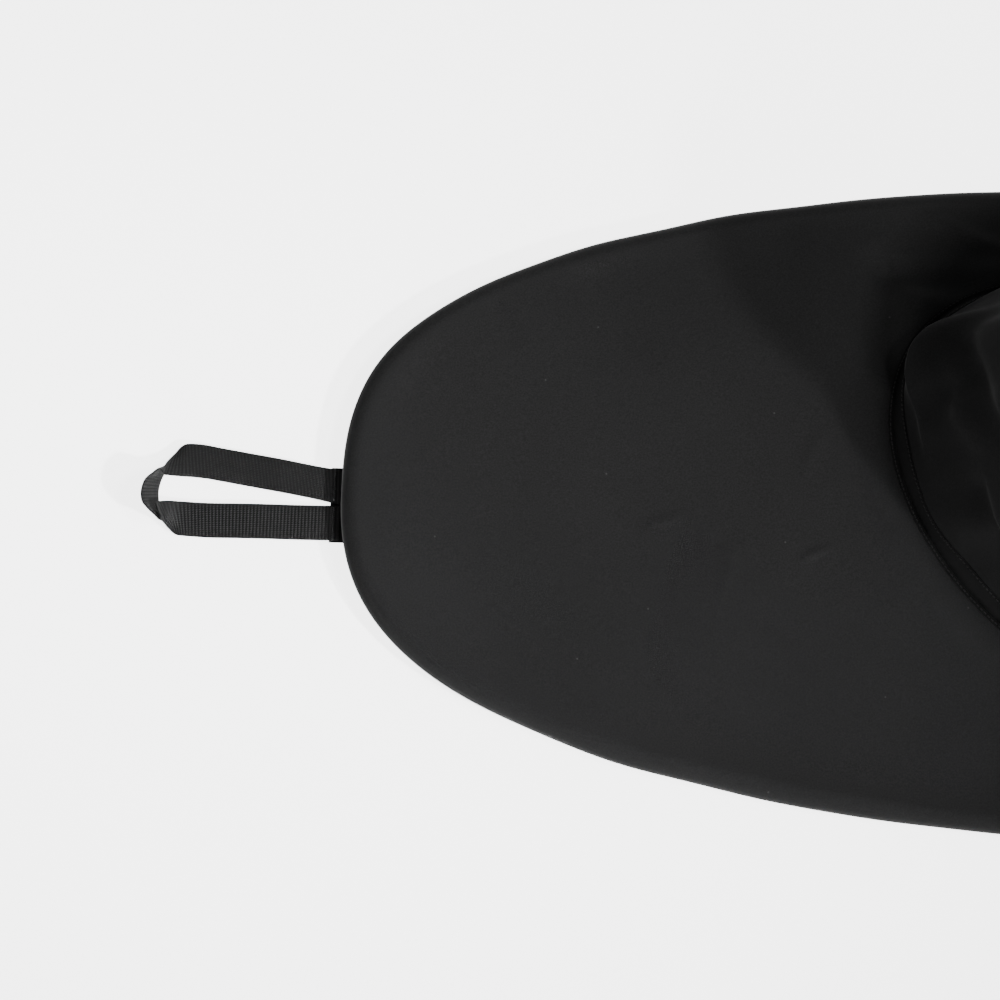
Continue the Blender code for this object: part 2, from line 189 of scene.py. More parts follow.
def base_material(name, colour, roughness, sheen=0.0, sheen_roughness=0.4, metallic=0.0, specular=0.5):
    made = bpy.data.materials.new(name)
    made.use_nodes = True
    tree = made.node_tree
    shader = tree.nodes["Principled BSDF"]
    shader.inputs["Base Color"].default_value = (*colour, 1)
    shader.inputs["Roughness"].default_value = roughness
    shader.inputs["Metallic"].default_value = metallic
    shader.inputs["Specular IOR Level"].default_value = specular
    shader.inputs["Sheen Weight"].default_value = sheen
    shader.inputs["Sheen Roughness"].default_value = sheen_roughness
    return made, tree, shader


def coordinates(tree, uv=False, scale=(1, 1, 1)):
    """Object or UV coordinates in metres, stretched by scale."""
    source = node(tree, "ShaderNodeTexCoord")
    mapping = node(tree, "ShaderNodeMapping")
    mapping.inputs["Scale"].default_value = scale
    tree.links.new(source.outputs["UV" if uv else "Object"], mapping.inputs["Vector"])
    return mapping.outputs["Vector"]


def shade(tree, shader, colour, factor):
    """Colours the shader with a colour, or another node's, times a factor."""
    mix = node(tree, "ShaderNodeMix", data_type="RGBA", blend_type="MULTIPLY")
    mix.inputs["Factor"].default_value = 1.0
    if isinstance(colour, tuple):
        mix.inputs[6].default_value = (*colour, 1)
    else:
        tree.links.new(colour, mix.inputs[6])
    tree.links.new(factor, mix.inputs[7])
    tree.links.new(mix.outputs[2], shader.inputs["Base Color"])
    return mix.outputs[2]


def vary(tree, shader, colour, layers):
    """Multiplies the colour by noise layers of (coordinates, scale, low, high)."""
    mix = None
    for vector, scale, low, high in layers:
        noise = node(tree, "ShaderNodeTexNoise", in_Scale=scale, in_Detail=3.0)
        tree.links.new(vector, noise.inputs["Vector"])
        ranged = node(tree, "ShaderNodeMapRange", in_From_Min=0.3, in_From_Max=0.7)
        ranged.inputs["To Min"].default_value = low
        ranged.inputs["To Max"].default_value = high
        tree.links.new(noise.outputs["Fac"], ranged.inputs["Value"])
        if mix is None:
            mix = ranged.outputs["Result"]
        else:
            product = node(tree, "ShaderNodeMath", operation="MULTIPLY")
            tree.links.new(mix, product.inputs[0])
            tree.links.new(ranged.outputs["Result"], product.inputs[1])
            mix = product.outputs["Value"]
    return shade(tree, shader, colour, mix)


def bump(tree, shader, height, strength, distance, after=None):
    made = node(tree, "ShaderNodeBump", in_Strength=strength, in_Distance=distance)
    tree.links.new(height, made.inputs["Height"])
    if after is not None:
        tree.links.new(after.outputs["Normal"], made.inputs["Normal"])
    tree.links.new(made.outputs["Normal"], shader.inputs["Normal"])
    return made


def noise_height(tree, vector, scale, detail=2.0):
    made = node(tree, "ShaderNodeTexNoise", in_Scale=scale, in_Detail=detail)
    tree.links.new(vector, made.inputs["Vector"])
    return made.outputs["Fac"]


def neoprene_material(name, colour, sheen, lint=False):
    """Jersey-faced neoprene: a fine knit grain over a soft, slightly uneven face."""
    made, tree, shader = base_material(name, colour, 0.78, sheen=sheen, sheen_roughness=0.35, specular=0.22)
    place = coordinates(tree)
    tint = vary(tree, shader, colour, [(place, 7, 0.9, 1.1), (place, 900, 0.72, 1.3)])
    if lint:
        flat = coordinates(tree, scale=(1, 1, 0))
        cells = node(tree, "ShaderNodeTexVoronoi", voronoi_dimensions="2D", in_Scale=9.0)
        tree.links.new(flat, cells.inputs["Vector"])
        speck = node(tree, "ShaderNodeMath", operation="LESS_THAN")
        speck.inputs[1].default_value = 0.006
        tree.links.new(cells.outputs["Distance"], speck.inputs[0])
        dust = node(tree, "ShaderNodeMix", data_type="RGBA")
        dust.inputs[7].default_value = (0.035, 0.035, 0.035, 1)
        tree.links.new(speck.outputs["Value"], dust.inputs["Factor"])
        tree.links.new(tint, dust.inputs[6])
        tree.links.new(dust.outputs[2], shader.inputs["Base Color"])
    knit = bump(tree, shader, noise_height(tree, place, 1500), 0.5, 0.0002)
    bump(tree, shader, noise_height(tree, place, 60), 0.25, 0.0008, after=knit)
    return made


def woven_material(name, colour, pitch, roughness=0.6, sheen=0.2, specular=0.35, groove_shade=0.8):
    """Woven tape or webbing, on UVs that run in metres across (u) and along (v)."""
    made, tree, shader = base_material(name, colour, roughness, sheen=sheen, specular=specular)
    place = coordinates(tree, uv=True)
    bands = []
    for direction, length in zip("XY", pitch):
        wave = node(tree, "ShaderNodeTexWave", wave_type="BANDS", bands_direction=direction,
                    in_Scale=math.tau / 20 / length, in_Phase_Offset=-math.pi / 2)
        tree.links.new(place, wave.inputs["Vector"])
        bands.append(wave.outputs["Fac"])
    weave = node(tree, "ShaderNodeMath", operation="MULTIPLY")
    for slot, band in enumerate(bands):
        tree.links.new(band, weave.inputs[slot])
    body = coordinates(tree)
    tint = vary(tree, shader, colour, [(body, 25, 0.85, 1.15), (body, 1200, 0.6, 1.45)])
    # Painted shade and highlight: the colour is darkened in bands between the ribs and lightened on them, by the
    # groove factor and its mirror.
    rib_shade = node(tree, "ShaderNodeMapRange", in_To_Min=groove_shade, in_To_Max=2 - groove_shade)
    tree.links.new(bands[1], rib_shade.inputs["Value"])
    shade(tree, shader, tint, rib_shade.outputs["Result"])
    threads = bump(tree, shader, weave.outputs["Value"], 0.6, 0.0003)
    bump(tree, shader, noise_height(tree, body, 2500), 0.3, 0.0002, after=threads)
    return made


def plain_fabric(name, colour, roughness=0.85, sheen=0.2, grain=2000, depth=0.0003):
    made, tree, shader = base_material(name, colour, roughness, sheen=sheen, specular=0.25)
    place = coordinates(tree)
    vary(tree, shader, colour, [(place, 30, 0.88, 1.12), (place, grain, 0.7, 1.3)])
    bump(tree, shader, noise_height(tree, place, grain), 0.6, depth)
    return made


def rubber_material(name, colour):
    made, tree, shader = base_material(name, colour, 0.55, specular=0.4)
    place = coordinates(tree)
    vary(tree, shader, colour, [(place, 40, 0.85, 1.15)])
    bump(tree, shader, noise_height(tree, place, 900), 0.3, 0.0002)
    return made


def steel_material(name, colour):
    made, tree, shader = base_material(name, colour, 0.32, metallic=1.0)
    place = coordinates(tree, scale=(1, 0.05, 1))
    vary(tree, shader, colour, [(place, 1500, 0.8, 1.15)])
    bump(tree, shader, noise_height(tree, place, 3000), 0.2, 0.0001)
    return made


def make_materials():
    return {
        "neoprene": neoprene_material("neoprene", (0.0125, 0.0125, 0.0128), 0.28, lint=True),
        # The tunnel's neoprene is a darker copy of the deck's: its lower colour is painted shade on the tunnel's
        # wall.
        "tunnel": neoprene_material("shaded_tunnel_neoprene", (0.0082, 0.0082, 0.0084), 0.06),
        "lining": plain_fabric("lining", (0.018, 0.018, 0.019)),
        # Seam tape, linings, loop tab and binding share this very dark colour. It is partly painted shade, set
        # to darken the base tape where the tunnel's wall overhangs it.
        "tape": plain_fabric("seam_tape", (0.004, 0.004, 0.0041), 0.85, 0.0, 2600, 0.0002),
        # The webbing's rib banding is strong: painted shade between its ribs and a painted highlight on them.
        "webbing": woven_material("webbing", (0.0085, 0.0085, 0.0087), (1.3 * MM, RIB_PITCH),
                                  0.65, 0.1, 0.3, 0.3),
        "thread": plain_fabric("thread", (0.012, 0.012, 0.012), 0.6, 0.1, 4000, 0.0001),
        # The bar tack thread's light grey is partly a painted highlight: it keeps the tack line bright in the
        # shade under the deck's rim.
        "bartack": plain_fabric("bartack_thread", (0.1, 0.1, 0.102), 0.5, 0.2, 4000, 0.0001),
        "rubber": rubber_material("grip_rubber", (0.008, 0.008, 0.008)),
        "elastic": woven_material("elastic", (0.022, 0.022, 0.023), (1.0 * MM, 1.5 * MM)),
        "pile": plain_fabric("hook_and_loop", (0.009, 0.009, 0.0095), 0.95, 0.5, 1400, 0.0008),
        "steel": steel_material("steel", (0.55, 0.55, 0.56)),
    }


# ---------------------------------------------------------------- mesh helpers

def mesh_piece(name, points, faces, material, body, uv=None):
    data = bpy.data.meshes.new(name)
    data.from_pydata([tuple(p) for p in points], [], [tuple(f) for f in faces])
    if uv is not None:
        layer = data.uv_layers.new(name="cloth")
        corner = np.empty(len(data.loops), np.int32)
        data.loops.foreach_get("vertex_index", corner)
        layer.data.foreach_set("uv", np.asarray(uv, np.float32)[corner].ravel())
    data.materials.append(MATERIALS[material])
    data.shade_smooth()
    data.set_sharp_from_angle(angle=math.radians(50))
    piece = bpy.data.objects.new(name, data)
    bpy.context.collection.objects.link(piece)
    if body is not None:
        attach(piece, body)
    return piece


def skin_faces(rows, columns, wrap, start=0, flip=False):
    i, j = np.meshgrid(np.arange(rows - 1), np.arange(columns if wrap else columns - 1), indexing="ij")
    k = (j + 1) % columns
    quads = np.stack([i * columns + j, i * columns + k, (i + 1) * columns + k, (i + 1) * columns + j], -1)
    quads = quads.reshape(-1, 4) + start
    return quads[:, ::-1] if flip else quads


def edge_faces(first, second, flip):
    """Quads between two equal runs of vertex numbers."""
    quads = np.stack([first[:-1], first[1:], second[1:], second[:-1]], 1)
    return quads[:, ::-1] if flip else quads


def thick_sheet(name, outer, inner, wrap, material, body, uv=None):
    """A closed sheet between two grids (rows, columns, 3). A wrapped one closes round its columns."""
    rows, columns = outer.shape[:2]
    count = rows * columns
    points = np.concatenate([outer.reshape(-1, 3), inner.reshape(-1, 3)])
    faces = [skin_faces(rows, columns, wrap), skin_faces(rows, columns, wrap, count, True)]
    ring = np.arange(columns + 1) % columns if wrap else np.arange(columns)
    last = (rows - 1) * columns
    faces.append(edge_faces(ring, ring + count, True))
    faces.append(edge_faces(ring + last, ring + last + count, False))
    if not wrap:
        side = np.arange(rows) * columns
        faces.append(edge_faces(side, side + count, False))
        faces.append(edge_faces(side + columns - 1, side + columns - 1 + count, True))
    if uv is not None:
        uv = np.concatenate([uv.reshape(-1, 2)] * 2)
    piece = mesh_piece(name, points, np.concatenate(faces), material, body, uv)
    fix_outside(piece)
    return piece


def fix_outside(piece):
    """Turns a closed mesh's faces outward if they face in."""
    data = piece.data
    count = len(data.vertices)
    points = np.empty(count * 3)
    data.vertices.foreach_get("co", points)
    points = points.reshape(-1, 3)
    data.calc_loop_triangles()
    corners = np.empty(len(data.loop_triangles) * 3, np.int32)
    data.loop_triangles.foreach_get("vertices", corners)
    a, b, c = (points[corners.reshape(-1, 3)[:, k]] for k in range(3))
    if (a * np.cross(b, c)).sum() < 0:
        data.flip_normals()


def swept(name, rings, wrap, material, body, uv=None):
    """A closed tube through rings (stations, around, 3); an open run is capped."""
    stations, around = rings.shape[:2]
    i, j = np.meshgrid(np.arange(stations if wrap else stations - 1), np.arange(around), indexing="ij")
    n, k = (i + 1) % stations, (j + 1) % around
    quads = np.stack([i * around + j, i * around + k, n * around + k, n * around + j], -1).reshape(-1, 4)
    faces = [tuple(q) for q in quads]
    if not wrap:
        faces.append(tuple(range(around))[::-1])
        faces.append(tuple(range((stations - 1) * around, stations * around)))
    piece = mesh_piece(name, rings.reshape(-1, 3), faces, material, body,
                       None if uv is None else uv.reshape(-1, 2))
    fix_outside(piece)
    return piece


def grid_normals(grid, wrap):
    """Unit normals of a grid (rows, columns, 3)."""
    down = np.gradient(grid, axis=0)
    if wrap:
        across = np.roll(grid, -1, 1) - np.roll(grid, 1, 1)
    else:
        across = np.gradient(grid, axis=1)
    normal = np.cross(across, down)
    return normal / np.linalg.norm(normal, axis=-1, keepdims=True)


def turns_round(count):
    """Equal turns of a whole circle, in radians."""
    return np.arange(count) * math.tau / count


def running(path):
    """Distance along a path (n, k) at each of its points."""
    return np.concatenate([[0], np.cumsum(np.linalg.norm(np.diff(path, axis=0), axis=1))])


def resampled(path, reach, due):
    """Points at the due distances along a path whose own points are at reach."""
    return np.stack([np.interp(due, reach, path[:, k]) for k in range(path.shape[1])], -1)


def cloth_uv(across, along):
    """UVs in metres for a grid whose rows and columns are at these distances."""
    return np.stack(np.meshgrid(across, along, indexing="ij"), -1)


def smooth_step(t):
    t = np.clip(t, 0, 1)
    return t * t * (3 - 2 * t)


def unit(v):
    return v / np.linalg.norm(v, axis=-1, keepdims=True)


def stitches(name, path, normals, body, wrap, pitch=3.6 * MM, length=2.7 * MM, radius=0.42 * MM,
             material="thread", zigzag=0.0):
    """A row of stitches along a path (n, 3): each is a short thread that rises out of the cloth."""
    path = np.asarray(path, float)
    if wrap:
        path = np.concatenate([path, path[:1]])
        normals = np.concatenate([normals, normals[:1]])
    reach = running(path)
    count = max(2, int(reach[-1] / pitch))
    middle = (np.arange(count) + 0.5) * reach[-1] / count
    sections, sides = 5, 6
    lift = np.sin(np.linspace(0, math.pi, sections)) * radius * 1.3 - radius * 0.55
    girth = np.array([0.35, 0.9, 1.0, 0.9, 0.35]) * radius
    points, faces = [], []
    turns = turns_round(sides)
    for index, centre in enumerate(middle):
        run = centre + np.linspace(-0.5, 0.5, sections) * length
        run = run % reach[-1] if wrap else np.clip(run, 0, reach[-1])
        spots = resampled(path, reach, run)
        up = unit(resampled(normals, reach, centre))
        ahead = unit(spots[-1] - spots[0])
        side = np.cross(up, ahead)
        sway = np.linspace(-0.5, 0.5, sections) * zigzag * (1 if index % 2 else -1)
        base = len(points)
        for spot, high, thick, shift in zip(spots, lift, girth, sway):
            hub = spot + up * high + side * shift
            points.extend(hub + side * (math.cos(t) * thick) + up * (math.sin(t) * thick) for t in turns)
        for s in range(sections - 1):
            for k in range(sides):
                m = (k + 1) % sides
                a = base + s * sides
                faces.append((a + k, a + m, a + sides + m, a + sides + k))
        faces.append(tuple(base + k for k in range(sides))[::-1])
        faces.append(tuple(base + (sections - 1) * sides + k for k in range(sides)))
    piece = mesh_piece(name, points, faces, material, body)
    fix_outside(piece)
    return piece


# ---------------------------------------------------------------- the deck's surface

def outline(turn):
    """Deck outline at turns from the bow tip (0) over starboard to the stern (pi)."""
    along, across = np.cos(turn), np.sin(turn)
    fore = along >= 0
    bow = BOW_X + BOW_LENGTH * (1 - np.abs(along) ** (2 / BOW_POWERS[0]))
    stern = BOW_X + BOW_LENGTH + (DECK_LENGTH - BOW_LENGTH) * np.abs(along) ** (2 / STERN_POWERS[0])
    power = np.where(fore, 2 / BOW_POWERS[1], 2 / STERN_POWERS[1])
    return np.stack([np.where(fore, bow, stern), np.sign(across) * HALF_WIDTH * np.abs(across) ** power], -1)


def outline_stations(count):
    """Points at equal steps along the outline, and their outward normals."""
    dense = outline((np.arange(20000) + 0.5) * math.tau / 20000)
    closed = np.concatenate([dense, dense[:1]])
    reach = running(closed)
    points = resampled(closed, reach, np.arange(count) * reach[-1] / count)
    tangent = unit(np.roll(points, -1, 0) - np.roll(points, 1, 0))
    normal = np.stack([-tangent[:, 1], tangent[:, 0]], 1)
    for _ in range(6):
        normal = unit(np.roll(normal, 1, 0) + 2 * normal + np.roll(normal, -1, 0))
    return points, normal


def seam_frame(turn, height):
    """Point and outward normal (in plan) of the tunnel's wall before it settles."""
    share = np.clip(height / (TUNNEL_HEIGHT - STRAIGHT_TOP), 0, 1)
    rise = 0.3 * smooth_step(share) + 0.7 * share
    axes = BASE_AXES + (WAIST_AXES - BASE_AXES) * rise[..., None]
    centre = SEAM_CENTRE + LEAN * rise[..., None]
    local = turn - BASE_TURN
    u = np.array([math.cos(BASE_TURN), math.sin(BASE_TURN)])
    v = np.array([-u[1], u[0]])
    cos, sin = np.cos(local)[..., None], np.sin(local)[..., None]
    point = centre + u * axes[..., :1] * cos + v * axes[..., 1:] * sin
    normal = unit(u * cos / axes[..., :1] + v * sin / axes[..., 1:])
    return point, normal


# Folds in the deck: a line given in millimetres, its half width, its height (below 0 for a valley),
# and whether it is a ridge or a step down to the line's left, seen from its start.
FOLDS = [
    ([(-103, 190), (-77, 134), (-46, 93), (-23, 55), (4, 17), (30, -16)], 15, 2.0, "step"),
    ([(-216, 172), (-187, 122), (-150, 74)], 12, 1.6, "step"),
    ([(-52, 205), (-42, 179), (-28, 139), (-14, 117), (2, 88), (14, 62)], 13, 3.0, "ridge"),
    ([(2, 190), (12, 160), (12, 122), (10, 98), (14, 72)], 12, -6.0, "ridge"),
    ([(2, 160), (27, 160), (60, 152), (100, 160)], 11, -5.0, "ridge"),
    ([(30, 224), (49, 211), (66, 196), (92, 184), (130, 176)], 9, 3.0, "ridge"),
    ([(-267, 146), (-254, 120), (-242, 96)], 5, -0.8, "ridge"),
    ([(-157, -27), (-142, -25), (-124, -19)], 3.2, 0.8, "ridge"),
    ([(-91, -28), (-97, -62), (-109, -98)], 3.2, 0.75, "ridge"),
    ([(-48, -51), (-38, -46), (-24, -41)], 3.2, 0.8, "ridge"),
    ([(-27, 50), (-38, 28), (-49, 6)], 3.6, 0.7, "ridge"),
    ([(150, -222), (175, -170), (190, -140)], 14, 2.0, "ridge"),
    ([(420, -130), (392, -118), (362, -122)], 15, 2.4, "ridge"),
    ([(440, 90), (400, 82), (352, 88)], 13, -2.2, "ridge"),
    ([(300, 190), (285, 165), (262, 140)], 12, 1.8, "ridge"),
]


def smooth_line(knots, count=60):
    """A Catmull-Rom run through knots."""
    knots = np.asarray(knots, float)
    padded = np.concatenate([[2 * knots[0] - knots[1]], knots, [2 * knots[-1] - knots[-2]]])
    spots = np.linspace(0, len(knots) - 1 - 1e-9, count)
    i, t = spots.astype(int), (spots % 1)[:, None]
    a, b, c, d = (padded[i + k] for k in range(4))
    return 0.5 * (2 * b + (c - a) * t + (2 * a - 5 * b + 4 * c - d) * t ** 2
                  + (3 * b - a - 3 * c + d) * t ** 3)


def near_line(spots, line):
    """For each spot: its distance from the line, the nearest point's number, and a taper to the ends."""
    far = np.linalg.norm(spots[:, None] - line[None], axis=2)
    near = far.argmin(1)
    share = near / (len(line) - 1)
    taper = smooth_step(share / 0.3) * smooth_step((1 - share) / 0.3)
    return far.min(1), near, taper


def fold_height(x, y):
    """Height that the folds add to the deck at points x, y."""
    total = np.zeros(x.size)
    spots = np.stack([x.ravel(), y.ravel()], 1)
    for knots, half, high, kind in FOLDS:
        line = smooth_line(np.array(knots) * MM)
        far, near, taper = near_line(spots, line)
        gap = far / (half * MM)
        if kind == "step":
            ahead = unit(np.gradient(line, axis=0))[near]
            offset = spots - line[near]
            left = (ahead[:, 0] * offset[:, 1] - ahead[:, 1] * offset[:, 0]) / (half * MM)
            total -= high / 2 * MM * np.tanh(left) * np.exp(-(gap / 3.2) ** 2) * taper
        else:
            total += high * MM * np.exp(-gap ** 2) * taper
    return total.reshape(x.shape)


def waves(x, y, size, seed, count=7):
    """Smooth, seeded unevenness of about unit height and the given wavelength."""
    draw = np.random.default_rng(seed)
    total = np.zeros_like(x)
    for _ in range(count):
        heading = draw.uniform(0, math.tau)
        length = size * draw.uniform(0.7, 1.5)
        phase = draw.uniform(0, math.tau)
        total += np.sin((x * math.cos(heading) + y * math.sin(heading)) * math.tau / length + phase)
    return total / count ** 0.5


def deck_grid():
    """The deck's upper and lower face, from the turned-under edge in to the tunnel's seam."""
    points, normal = outline_stations(DECK_COLUMNS)
    turn = np.arctan2(points[:, 1] - SEAM_CENTRE[1], points[:, 0] - SEAM_CENTRE[0])
    seam, _ = seam_frame(turn, np.zeros_like(turn))
    wobble = 1 + 0.035 * waves(points[:, 0], points[:, 1], 0.11, 3)
    outer = np.empty((ROLL_ROWS + DECK_ROWS, DECK_COLUMNS, 3))
    inner = np.empty_like(outer)
    for row, angle in enumerate(np.radians(np.linspace(-72, 90, ROLL_ROWS))):
        for grid, radius in ((outer, ROLL_RADIUS), (inner, ROLL_RADIUS - FABRIC)):
            reach = radius * math.cos(angle) * wobble - ROLL_RADIUS
            grid[row, :, :2] = points + normal * reach[:, None]
            grid[row, :, 2] = ROLL_Z + radius * math.sin(angle)
    start = points - normal * ROLL_RADIUS
    top = ROLL_Z + ROLL_RADIUS
    share = np.linspace(0, 1, DECK_ROWS + 1)[1:, None]
    place = start[None] * (1 - share[..., None]) + seam[None] * share[..., None]
    span = np.linalg.norm(seam - start, axis=1)
    to_rim, to_seam = span * share, span * (1 - share)
    height = top + (SEAM_Z - 1.5 * MM - top) * smooth_step(share)
    height = height + 2.2 * MM * np.exp(-((to_seam - 20 * MM) / (11 * MM)) ** 2)
    height = height - 4.0 * MM * np.exp(-(to_seam / (7 * MM)) ** 2)
    free = smooth_step(to_rim / (28 * MM)) * smooth_step(to_seam / (14 * MM))
    height = height + 0.55 * MM * free * waves(place[..., 0], place[..., 1], 0.16, 11)
    clear = smooth_step(to_rim / (16 * MM)) * smooth_step(to_seam / (9 * MM))
    height = height + fold_height(place[..., 0], place[..., 1]) * clear
    outer[ROLL_ROWS:, :, :2] = place
    outer[ROLL_ROWS:, :, 2] = height
    normals = grid_normals(outer, True)
    normals *= math.copysign(1, normals[ROLL_ROWS + 5, 0, 2])
    inner[ROLL_ROWS:] = (outer - normals * FABRIC)[ROLL_ROWS:]
    return outer, inner


def make_deck(outer, inner):
    piece = thick_sheet("deck", outer, inner, True, "neoprene", "skirt")
    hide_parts("deck_panel")


# ---------------------------------------------------------------- the tunnel's wall

PINNED_TOP = 42 * MM
EXTRA_HEIGHT = 1.09
EXTRA_GIRTH = 1.015
SETTLE_FRAMES = 30
FOLD_LIMIT = 13 * MM


def simulate_wall(grid, height):
    """Lets the tunnel's cloth, cut a little taller than the space it stands in, settle into folds
    between its sewn foot and the waist."""
    rows, columns = grid.shape[:2]
    data = bpy.data.meshes.new("wall_cloth")
    data.from_pydata([tuple(p) for p in grid.reshape(-1, 3)], [],
                     [tuple(f) for f in skin_faces(rows, columns, True)])
    cloth = bpy.data.objects.new("wall_cloth", data)
    bpy.context.collection.objects.link(cloth)
    cloth.shape_key_add(name="Basis")
    cut = cloth.shape_key_add(name="cut")
    cut.value = 0
    centre = grid.mean(1, keepdims=True)
    tall = grid.copy()
    tall[..., :2] = centre[..., :2] + (grid - centre)[..., :2] * EXTRA_GIRTH
    tall[..., 2] = SEAM_Z + (grid[..., 2] - SEAM_Z) * EXTRA_HEIGHT
    cut.data.foreach_set("co", tall.ravel())
    held = np.maximum(smooth_step((height - (TUNNEL_HEIGHT - PINNED_TOP)) / (4 * MM)), height <= 0.1 * MM)
    group = cloth.vertex_groups.new(name="held")
    for row, weight in enumerate(held):
        group.add(list(range(row * columns, (row + 1) * columns)), float(weight), "REPLACE")
    settings = cloth.modifiers.new("cloth", "CLOTH").settings
    settings.quality = 6
    settings.mass = 0.12
    settings.air_damping = 4
    settings.tension_stiffness = 25
    settings.compression_stiffness = 25
    settings.shear_stiffness = 12
    settings.bending_stiffness = 6
    settings.bending_damping = 2
    settings.vertex_group_mass = "held"
    settings.rest_shape_key = cut
    settings.effector_weights.gravity = 0.6
    settings.use_pressure = True
    settings.uniform_pressure_force = 0.35
    scene = bpy.context.scene
    for step in range(1, SETTLE_FRAMES + 1):
        scene.frame_set(step)
    settled = cloth.evaluated_get(bpy.context.evaluated_depsgraph_get())
    points = np.empty(rows * columns * 3)
    settled.data.vertices.foreach_get("co", points)
    scene.frame_set(1)
    bpy.data.objects.remove(cloth, do_unlink=True)
    return points.reshape(rows, columns, 3)


def relaxed(grid, passes):
    """Evens out a wrapped grid without moving its first and last row."""
    for _ in range(passes):
        even = (np.roll(grid, 1, 1) + np.roll(grid, -1, 1)) / 4
        even[1:-1] += (grid[2:] + grid[:-2]) / 4
        even[[0, -1]] = grid[[0, -1]]
        grid = even
    return grid


def lobe(turn, middle, width, high):
    """A smooth bump of the given height round a turn; middle and width are in degrees."""
    gap = (np.degrees(turn) - middle + 180) % 360 - 180
    return high * np.exp(-(gap / width) ** 2)


# Where the standing wall leans in or out: turn in degrees, height in millimetres, half width in each,
# and millimetres outward
STANCES = [
    (150, 205, 45, 80, -7),
    (155, 95, 20, 45, 5),
    (222, 105, 32, 55, 21),
]

# Creases in the wall: a line of (turn, height) in degrees and millimetres, its half width, and how far it
# stands out.
CREASES = [
    ([(138, 22), (150, 21), (162, 21), (176, 26), (190, 20)], 6.5, 3.5),
    ([(150, 30), (160, 38), (172, 50)], 7, -3),
    ([(144, 40), (154, 52), (166, 68), (182, 88), (198, 104)], 10, -7),
    ([(168, 50), (180, 66), (192, 78)], 9, 3),
    ([(190, 56), (202, 58), (216, 56)], 9, -5),
]
TURN_REACH = 2.6  # millimetres round the wall in one degree


def crease(turn, tall):
    """How far the creases move the wall outward."""
    spots = np.stack([np.degrees(turn).ravel() * TURN_REACH, tall.ravel() / MM], 1)
    total = np.zeros(len(spots))
    for knots, half, out in CREASES:
        line = smooth_line(np.array(knots) * [TURN_REACH, 1])
        far, _, taper = near_line(spots, line)
        total += out * MM * np.exp(-(far / half) ** 2) * taper
    return total.reshape(turn.shape)


def stance(turn, tall):
    """How far the wall stands outward of where it settled."""
    total = crease(turn, tall)
    for middle, level, width, spread, out in STANCES:
        total += lobe(turn, middle, width, out * MM) * np.exp(-((tall - level * MM) / (spread * MM)) ** 2)
    return total * smooth_step(tall / (25 * MM))


class Wall:
    """The tunnel's middle surface, which answers for a point at a turn, a height and an offset."""

    def __init__(self):
        height = np.linspace(0, TUNNEL_HEIGHT, WALL_ROWS)
        tall, round_it = np.meshgrid(height, turns_round(WALL_COLUMNS), indexing="ij")
        point, normal = seam_frame(round_it, tall)
        z = SEAM_Z + FOOT_GAP + tall
        belly = (3 + lobe(round_it, 154, 15, 12) + lobe(round_it, 205, 26, 3)) * MM
        belly = belly * np.exp(-((tall - 24 * MM) / (19 * MM)) ** 2) * (1 - np.exp(-tall / (5 * MM)))
        uneven = 1.2 * MM * waves(round_it * 0.16, tall, 0.09, 21)
        free = smooth_step(tall / (12 * MM)) * smooth_step((TUNNEL_HEIGHT - PINNED_TOP - tall) / (20 * MM))
        point = point + normal * ((belly + uneven) * free)[..., None]
        designed = np.concatenate([point, z[..., None]], -1)
        designed[0, :, 2] -= 3.5 * MM
        grid = designed
        moved = simulate_wall(designed, height) - designed
        far = np.linalg.norm(moved, axis=-1, keepdims=True)
        moved *= FOLD_LIMIT * np.tanh(far / FOLD_LIMIT) / np.maximum(far, 1e-9)
        grid = relaxed(designed + moved, 3)
        grid = grid + np.concatenate([normal, 0 * normal[..., :1]], -1) * stance(round_it, tall)[..., None]
        self.grid = grid
        normals = grid_normals(grid, True)
        outward = normals[..., 0] * normal[..., 0] + normals[..., 1] * normal[..., 1]
        self.normals = normals * np.sign(outward.mean())

    def sample(self, field, turn, height):
        rows, columns = field.shape[:2]
        u = np.asarray(turn, float) / math.tau * columns
        v = np.clip(np.asarray(height, float) / TUNNEL_HEIGHT * (rows - 1), 0, rows - 1)
        u, v = np.broadcast_arrays(u, v)
        j, i = np.floor(u).astype(int), np.minimum(np.floor(v).astype(int), rows - 2)
        s, t = u - j, v - i
        total = 0
        weights_across = self.cubic(s)
        weights_up = self.cubic(t)
        for a in range(4):
            row = np.clip(i + a - 1, 0, rows - 1)
            for b in range(4):
                share = (weights_up[a] * weights_across[b])[..., None]
                total = total + field[row, (j + b - 1) % columns] * share
        return total

    @staticmethod
    def cubic(t):
        return (0.5 * (-t + 2 * t ** 2 - t ** 3), 0.5 * (2 - 5 * t ** 2 + 3 * t ** 3),
                0.5 * (t + 4 * t ** 2 - 3 * t ** 3), 0.5 * (-t ** 2 + t ** 3))

    def at(self, turn, height, out=0.0):
        normal = unit(self.sample(self.normals, turn, height))
        return self.sample(self.grid, turn, height) + normal * np.asarray(out)[..., None], normal


def wall_sheet(name, turns, heights, outs, counts, material, body, wrap=False, shape=None):
    """A sheet on the wall: turns in degrees, heights in metres and (inner, outer) offsets."""
    down = np.linspace(heights[0], heights[1], counts[1])
    if wrap:
        round_it = turns_round(counts[0])
    else:
        round_it = np.radians(np.linspace(turns[0], turns[1], counts[0]))
    tall, turn = np.meshgrid(down, round_it, indexing="ij")
    extra = 0.0 if shape is None else shape(turn, tall)
    outer, _ = WALL.at(turn, tall, outs[1] + extra)
    inner, _ = WALL.at(turn, tall, outs[0] + extra)
    uv = np.stack([tall, turn * 0.14], -1)
    return thick_sheet(name, outer, inner, wrap, material, body, uv)


